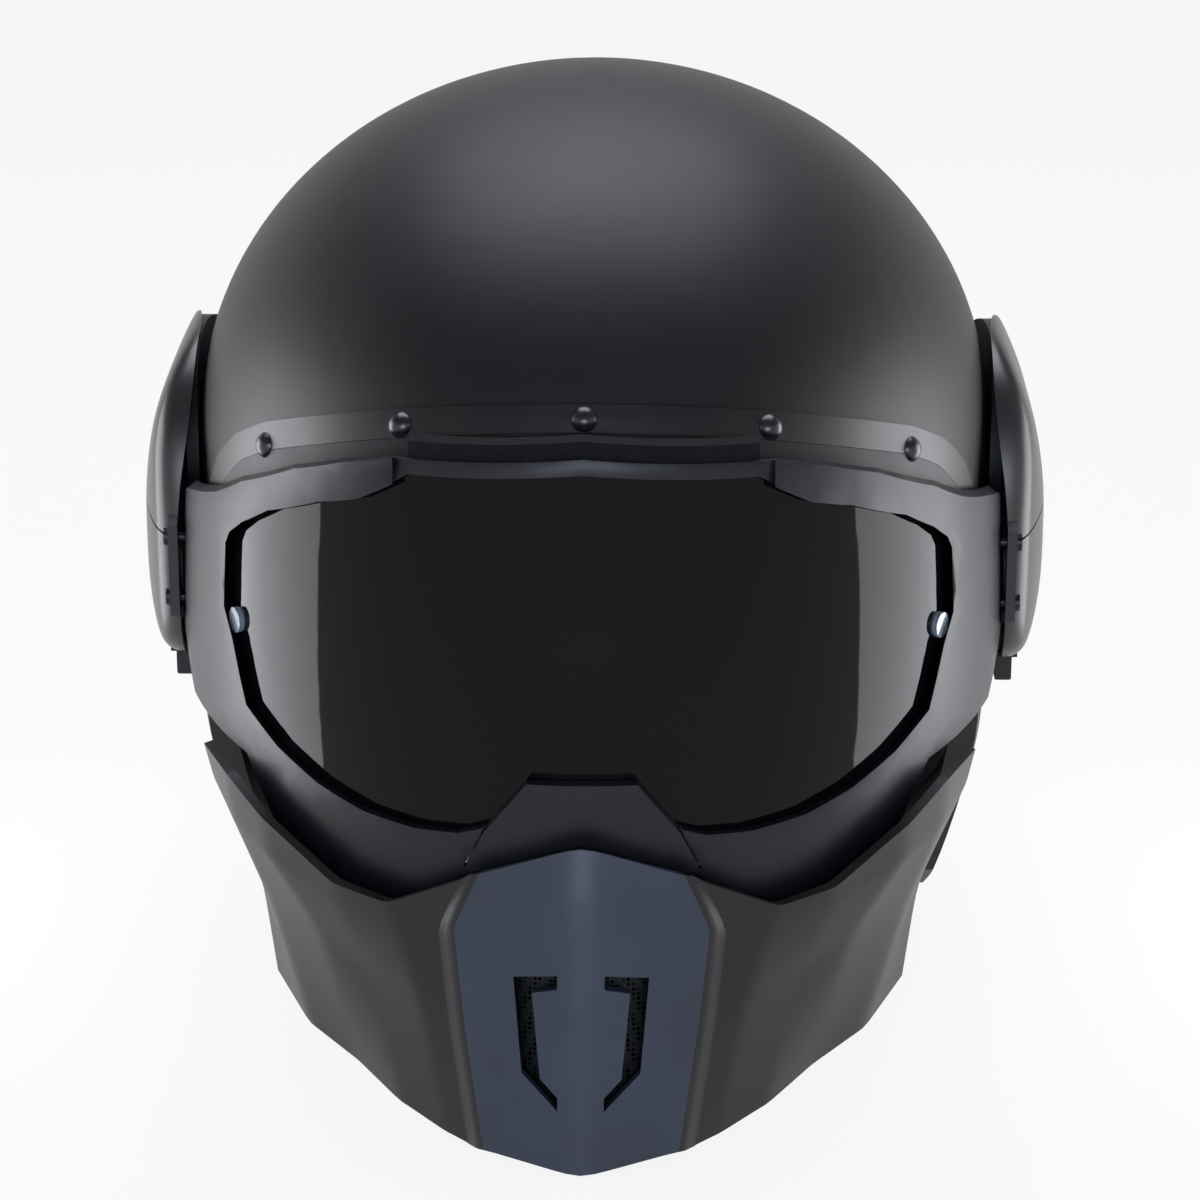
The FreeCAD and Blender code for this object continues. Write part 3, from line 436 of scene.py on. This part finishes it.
# ------------------------------------------------------------ lens
# The lens is smoked polycarbonate with a hard coat. It is nearly black from outside, glossy, and
# shows the side lamps as two tall grey bands.
smoked_lens, tree, shader = new_finish(
    "smoked_polycarbonate",
    {"IOR": 1.5, "Specular IOR Level": 0.08, "Transmission Weight": 0.15})
place = add(tree, "ShaderNodeTexCoord").outputs["Object"]
haze = add(tree, "ShaderNodeTexNoise", values={"Scale": 12.0, "Detail": 3.0}, links={"Vector": place})
smoke = add(tree, "ShaderNodeValToRGB", links={"Fac": haze.outputs["Fac"]})
smoke.color_ramp.elements[0].color = colour("#060609")
smoke.color_ramp.elements[1].color = colour("#0b0b10")
tree.links.new(smoke.outputs["Color"], shader.inputs["Base Color"])
wiped = add(tree, "ShaderNodeMapRange", values={"To Min": 0.03, "To Max": 0.06},
            links={"Value": haze.outputs["Fac"]})
tree.links.new(wiped.outputs["Result"], shader.inputs["Roughness"])
coat_node("lens", smoked_lens)

# ------------------------------------------------------------ lens pins
# Two clear pins turn in the lens to stretch an insert behind it. They are moulded in clear
# polycarbonate and sparkle at their edges.
clear_pin, tree, shader = new_finish(
    "clear_polycarbonate", {"IOR": 1.58, "Transmission Weight": 0.6})
place = add(tree, "ShaderNodeTexCoord").outputs["Object"]
ripple = add(tree, "ShaderNodeTexNoise", values={"Scale": 1000 / 3.0, "Detail": 1.0}, links={"Vector": place})
pin_tone = add(tree, "ShaderNodeValToRGB", links={"Fac": ripple.outputs["Fac"]})
pin_tone.color_ramp.elements[0].color = colour("#8d9aa8")
pin_tone.color_ramp.elements[1].color = colour("#c9d6e4")
tree.links.new(pin_tone.outputs["Color"], shader.inputs["Base Color"])
pin_gloss = add(tree, "ShaderNodeMapRange", values={"To Min": 0.03, "To Max": 0.15},
                links={"Value": ripple.outputs["Fac"]})
tree.links.new(pin_gloss.outputs["Result"], shader.inputs["Roughness"])
coat_node("lens_pins", clear_pin)

# ------------------------------------------------------------ lens gasket and brow seal
# Rubber strips close the gap behind the lens, and a foam strip lies behind the frame's top bar.
coat_node("lens_gasket", edge_rubber)
closed_foam = grained_finish("closed_cell_foam", "#111113", "#1b1b1e", 3, 0.8, 0.15, (0.8, 0.95),
                             **{"Specular IOR Level": 0.2})
coat_node("brow_seal", closed_foam)

# ------------------------------------------------------------ chin guard
# The guard is moulded in ABS with crisp facets and softened edges, and sprayed with a matt black lacquer.
# The centre plate gets a lighter blue-grey copy of that lacquer: a painted highlight where the plate catches
# the light.
plate_painted_highlight = grained_finish("guard_lacquer_painted_highlight", "#283140", "#2f394a", 35, 0.8, 0.012, (0.42, 0.50),
                               **{"Specular IOR Level": 0.5})
flank_lacquer = grained_finish("matt_black_lacquer", "#100f12", "#151417", 35, 0.8, 0.012, (0.40, 0.48),
                               **{"Specular IOR Level": 0.4})

# Rows run down the guard and columns go from its rear edge to the centre line, in mm from the
# waist: rear edge, cheek, side crease, valley, ridge corner, foot of the bevel beside the centre
# plate, edge of the plate, centre.
guard_rows = [
    [(116, -84, -82), (106, -113.7, -79.8), (94, -129, -88), (72, -149.4, -99.3), (55.5, -160.3, -101),
     (33.5, -170, -89.2), (29.4, -172, -86.7), (0, -176.6, -76.8)],
    [(113.8, -80, -95), (105, -109, -96), (93, -128.5, -99), (71, -148.5, -106), (53, -162, -107),
     (39.8, -167.6, -106), (36.4, -172.4, -104), (0, -181, -90)],
    [(99.6, -80, -129), (94, -103, -128.7), (77, -136, -121), (62, -149, -129), (45, -167.5, -132),
     (36.8, -172.6, -132), (33.2, -177.6, -132), (0, -187.2, -124)],
    [(95.6, -80, -161), (82, -118, -161), (66, -138, -163), (51.6, -160, -166), (38, -173.5, -168.5),
     (30.8, -179.5, -169.5), (27.5, -185, -168.5), (0, -195, -172)]]
down_crease = (1.0, 0.5, 0.85, 0.7, 0.85, 0.9, 0.95, 0.5)
across_crease = (1.0, 0.95, 0.4, 1.0)
guard_wall = 3.0 * mm
plate_back = -160.0
slot_from, slot_to = -200, -150
slot_outline = [(6.8, -113.0), (19.6, -115.0), (17.2, -143.0), (6.7, -153.0), (6.7, -149.0),
                (11.8, -144.0), (14.2, -119.0), (6.8, -117.0)]

guard_mesh = bmesh.new()
crease = guard_mesh.edges.layers.float.new("crease_edge")
grid = []
for row in guard_rows:
    points = row + [(-x, y, z) for x, y, z in reversed(row[:-1])]
    grid.append([guard_mesh.verts.new(Vector(point) * mm + waist) for point in points])
for upper, lower in zip(grid, grid[1:]):
    for i in range(len(upper) - 1):
        guard_mesh.faces.new((upper[i], lower[i], lower[i + 1], upper[i + 1]))
last = len(guard_rows[0]) - 1
for r, row in enumerate(grid):
    for i, vertex in enumerate(row):
        column = min(i, 2 * last - i)
        if r + 1 < len(grid):
            guard_mesh.edges.get((vertex, grid[r + 1][i]))[crease] = down_crease[column]
        if i + 1 < len(row):
            guard_mesh.edges.get((vertex, row[i + 1]))[crease] = across_crease[r]
guard_data = bpy.data.meshes.new("chin_guard_faceted")
guard_mesh.to_mesh(guard_data)
guard_mesh.free()
guard = bpy.data.objects.new("chin_guard_faceted", guard_data)
bpy.context.scene.collection.objects.link(guard)
facets = guard.modifiers.new("facets", "SUBSURF")
facets.levels = 3
facets.render_levels = 3
wall = guard.modifiers.new("wall", "SOLIDIFY")
wall.thickness = guard_wall
wall.offset = -1.0
wall.use_even_offset = True

cutter_mesh = bmesh.new()
for side in (1, -1):
    front = [cutter_mesh.verts.new(Vector((side * x, slot_from, z)) * mm + waist) for x, z in slot_outline]
    back = [cutter_mesh.verts.new(Vector((side * x, slot_to, z)) * mm + waist) for x, z in slot_outline]
    cutter_mesh.faces.new(front)
    cutter_mesh.faces.new(back)
    for i, vertex in enumerate(front):
        following = (i + 1) % len(front)
        cutter_mesh.faces.new((vertex, front[following], back[following], back[i]))
bmesh.ops.recalc_face_normals(cutter_mesh, faces=cutter_mesh.faces)
cutter_data = bpy.data.meshes.new("slot_cutter")
cutter_mesh.to_mesh(cutter_data)
cutter_mesh.free()
cutter = bpy.data.objects.new("slot_cutter", cutter_data)
bpy.context.scene.collection.objects.link(cutter)
slots = guard.modifiers.new("slots", "BOOLEAN")
slots.operation = "DIFFERENCE"
slots.solver = "EXACT"
slots.object = cutter
depsgraph = bpy.context.evaluated_depsgraph_get()
cut_guard = bpy.data.meshes.new_from_object(guard.evaluated_get(depsgraph))
guard.modifiers.clear()
guard.data = cut_guard
bpy.data.objects.remove(cutter)
for polygon in cut_guard.polygons:
    polygon.use_smooth = True
cut_guard.set_sharp_from_angle(angle=math.radians(50))
cut_guard.materials.clear()
cut_guard.materials.append(flank_lacquer)
cut_guard.materials.append(plate_painted_highlight)
# The faces of the centre plate take the lighter copy, which is the painted highlight.
plate_edge = [(row[-2][2], row[-2][0]) for row in reversed(guard_rows)]
for polygon in cut_guard.polygons:
    at = (polygon.center - waist) / mm
    polygon.material_index = int(abs(at.x) < between(plate_edge, at.z) and at.y < plate_back)
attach(guard, "mask")
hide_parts("chin_guard")

# ------------------------------------------------------------ vent mesh
# A pressed steel mesh stops stones behind the slots. Its holes are 1.5 mm apart.
mesh_pitch_mm = 1.5
pressed_mesh, tree, shader = new_finish("pressed_steel_mesh", {"Metallic": 1.0, "Roughness": 0.5})
place = add(tree, "ShaderNodeTexCoord").outputs["Object"]
holes = add(tree, "ShaderNodeTexVoronoi", values={"Scale": 1000 / mesh_pitch_mm, "Randomness": 0.0},
            links={"Vector": place})
# The holes are painted as dark dots: painted shade for the dark seen through them.
painted_hole_shade = add(tree, "ShaderNodeValToRGB", links={"Fac": holes.outputs["Distance"]})
painted_hole_shade.color_ramp.elements[0].position = 0.3
painted_hole_shade.color_ramp.elements[0].color = colour("#040405")
painted_hole_shade.color_ramp.elements[1].position = 0.4
painted_hole_shade.color_ramp.elements[1].color = colour("#2c2d30")
tree.links.new(painted_hole_shade.outputs["Color"], shader.inputs["Base Color"])
coat_node("vent_mesh", pressed_mesh)

# ------------------------------------------------------------ chin strap and buckle
# The strap is woven polyester webbing with a rib every 1.4 mm, riveted to the shell each side.
# Its buckle is satin stainless steel, and the toothed tongue is moulded acetal.
rib_mm = 1.4
rib_relief = 0.2 * mm
webbing, tree, shader = new_finish("woven_webbing", {"Roughness": 0.8, "Specular IOR Level": 0.25,
                                                     "Sheen Weight": 0.2})
place = add(tree, "ShaderNodeTexCoord").outputs["Object"]
ribs = add(tree, "ShaderNodeTexWave", {"bands_direction": "Y"},
           {"Scale": 1000 / rib_mm / waves_per_unit, "Distortion": 0.6}, {"Vector": place})
picks = add(tree, "ShaderNodeTexWave", {"bands_direction": "X"},
            {"Scale": 1000 / rib_mm / waves_per_unit, "Distortion": 0.6}, {"Vector": place})
weave = add(tree, "ShaderNodeMath", {"operation": "MAXIMUM"},
            links={0: ribs.outputs["Fac"], 1: picks.outputs["Fac"]})
web_tone = add(tree, "ShaderNodeValToRGB", links={"Fac": weave.outputs["Value"]})
web_tone.color_ramp.elements[0].color = colour("#0d0d0f")
web_tone.color_ramp.elements[1].color = colour("#232327")
tree.links.new(web_tone.outputs["Color"], shader.inputs["Base Color"])
web_relief = add(tree, "ShaderNodeBump", values={"Strength": 0.8, "Distance": rib_relief},
                 links={"Height": weave.outputs["Value"]})
tree.links.new(web_relief.outputs["Normal"], shader.inputs["Normal"])
satin_stainless = grained_finish("satin_stainless_steel", "#7c7d80", "#909296", 4, 0.3, 0.006, (0.28, 0.4),
                                 Metallic=1.0)
acetal = grained_finish("moulded_acetal", "#131316", "#1a1a1d", 5, 0.4, 0.01, (0.35, 0.45),
                        **{"Specular IOR Level": 0.5})

# The strap runs from its rivet at the cheek to the buckle under the chin, as x and z in mm from the
# waist. The right length goes on to the tongue.
strap_path = [(117.6, -101.0), (115.8, -113.0), (109.5, -124.0), (98.0, -134.0), (82.0, -140.0),
              (63.0, -143.0)]
strap_ends = {"left": [(57.2, -143.0)], "right": [(40.0, -143.0), (14.2, -143.0)]}
strap_y = 2.0
strap_width_mm = 24.0
strap_crown_mm = 0.25
strap_columns = 8
strap_wall = 1.7 * mm


def strap_of(side):
    """Webbing laid along its path, a little crowned across its width."""
    sign = 1 if side == "left" else -1
    path = strap_path + strap_ends[side]
    shape = bmesh.new()
    rows = []
    for x, z in path:
        row = []
        for i in range(strap_columns + 1):
            share = 2 * i / strap_columns - 1
            sag = strap_crown_mm * share ** 2
            at = Vector((sign * (x - sag), strap_y + share * strap_width_mm / 2, z + sag))
            row.append(shape.verts.new(at * mm + waist))
        rows.append(row)
    for a, b in zip(rows, rows[1:]):
        for i in range(strap_columns):
            corners = (a[i], a[i + 1], b[i + 1], b[i])
            shape.faces.new(corners if sign > 0 else corners[::-1])
    data = bpy.data.meshes.new("strap_%s_webbing" % side)
    shape.to_mesh(data)
    shape.free()
    for polygon in data.polygons:
        polygon.use_smooth = True
    strap = bpy.data.objects.new(data.name, data)
    bpy.context.scene.collection.objects.link(strap)
    bend = strap.modifiers.new("bend", "SUBSURF")
    bend.levels = 2
    bend.render_levels = 2
    wall = strap.modifiers.new("wall", "SOLIDIFY")
    wall.thickness = strap_wall
    wall.offset = -1.0
    data.materials.append(webbing)
    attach(strap, "shell")
    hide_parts("strap_" + side)


for side in ("left", "right"):
    strap_of(side)
coat_node("buckle_body", satin_stainless)
coat_node("buckle_lever", satin_stainless)
coat_node("ratchet_tongue", acetal)

# ------------------------------------------------------------ table, light and camera
# The helmet stands on a plain white table inside a white surround. A large soft lamp hangs over the
# crown, two tall lamps stand at its sides, and one lights the chin guard from the front.
surround_radius = 12.0
surround_height = 5.0
surround_sides = 48
glow_share = 0.88
turns = [2 * math.pi * i / surround_sides for i in range(surround_sides)]
foot = [(surround_radius * math.cos(turn), surround_radius * math.sin(turn), 0) for turn in turns]
top = [(x, y, surround_height) for x, y, z in foot]
walls = [(i, (i + 1) % surround_sides, surround_sides + (i + 1) % surround_sides, surround_sides + i)
         for i in range(surround_sides)]
floor_mesh = bpy.data.meshes.new("table_top")
floor_mesh.from_pydata(foot + top, [], [tuple(range(surround_sides))] + walls)
table_top = bpy.data.objects.new("table_top", floor_mesh)
bpy.context.scene.collection.objects.link(table_top)
white_table = bpy.data.materials.new("white_painted_table")
white_table.use_nodes = True
tree = white_table.node_tree
tree.nodes.clear()
rays = add(tree, "ShaderNodeLightPath")
seen = add(tree, "ShaderNodeMath", {"operation": "MAXIMUM"},
           links={0: rays.outputs["Is Camera Ray"], 1: rays.outputs["Is Glossy Ray"]})
seen = add(tree, "ShaderNodeMath", {"operation": "MAXIMUM"},
           links={0: seen.outputs["Value"], 1: rays.outputs["Is Transmission Ray"]})
share = add(tree, "ShaderNodeMath", {"operation": "MULTIPLY"}, {1: glow_share},
            {0: seen.outputs["Value"]})
paint = add(tree, "ShaderNodeBsdfDiffuse", values={"Color": colour("#d8d8da")})
glow = add(tree, "ShaderNodeEmission", values={"Color": (1, 1, 1, 1), "Strength": 1.0})
both = add(tree, "ShaderNodeMixShader", links={"Fac": share.outputs["Value"], 1: paint.outputs["BSDF"],
                                               2: glow.outputs["Emission"]})
add(tree, "ShaderNodeOutputMaterial", links={"Surface": both.outputs["Shader"]})
floor_mesh.materials.append(white_table)

world = bpy.data.worlds.new("studio")
world.use_nodes = True
world.node_tree.nodes["Background"].inputs["Color"].default_value = colour("#e6e8ee")
world.node_tree.nodes["Background"].inputs["Strength"].default_value = 0.22
bpy.context.scene.world = world


def soft_lamp(name, place, aim, size, power, tint):
    """A rectangular lamp that shines on a place and that the camera doesn't see."""
    data = bpy.data.lights.new(name, "AREA")
    data.shape = "RECTANGLE"
    data.size, data.size_y = size
    data.energy = power
    data.color = colour(tint)[:3]
    lamp = bpy.data.objects.new(name, data)
    lamp.location = place
    lamp.rotation_euler = (Vector(aim) - Vector(place)).to_track_quat("-Z", "Y").to_euler()
    lamp.visible_camera = False
    bpy.context.scene.collection.objects.link(lamp)


helmet_middle = (cad_box[0] + cad_box[1]) / 2
soft_lamp("crown_lamp", (0, 0.45, 1.25), helmet_middle, (1.1, 0.9), 14, "#f2f3ff")
for side in (-1, 1):
    soft_lamp("side_lamp", (side * 0.30, -0.015, 0.128), (side * 0.1, -0.015, 0.128),
              (0.17, 0.25), 0.75, "#f0f1f6")
soft_lamp("front_lamp", (0, -1.2, 0.40), (0, -0.1, 0.08), (0.6, 0.2), 5.0, "#dce6ff")

camera_tilt = math.radians(20.0)
camera_turn = math.radians(1.2)
camera_away = 1.300
camera_shift = (1.60 * mm, -61.86 * mm)
to_right = Vector((math.cos(camera_turn), math.sin(camera_turn), 0))
to_back = Vector((math.sin(camera_turn) * math.cos(camera_tilt),
                  -math.cos(camera_turn) * math.cos(camera_tilt),
                  math.sin(camera_tilt)))
to_top = to_back.cross(to_right).normalized()
camera_place = waist + to_right * camera_shift[0] + to_top * camera_shift[1] + to_back * camera_away
camera_data = bpy.data.cameras.new("camera")
camera_data.lens = 121.7
camera_data.sensor_width = 36.0
camera_data.clip_start = 0.05
camera_data.clip_end = 50.0
camera = bpy.data.objects.new("camera", camera_data)
bpy.context.scene.collection.objects.link(camera)
camera_turned = Matrix((to_right, to_top, to_back)).transposed().to_4x4()
camera.matrix_world = Matrix.Translation(camera_place) @ camera_turned
bpy.context.scene.camera = camera
bpy.context.scene.view_settings.view_transform = "Standard"
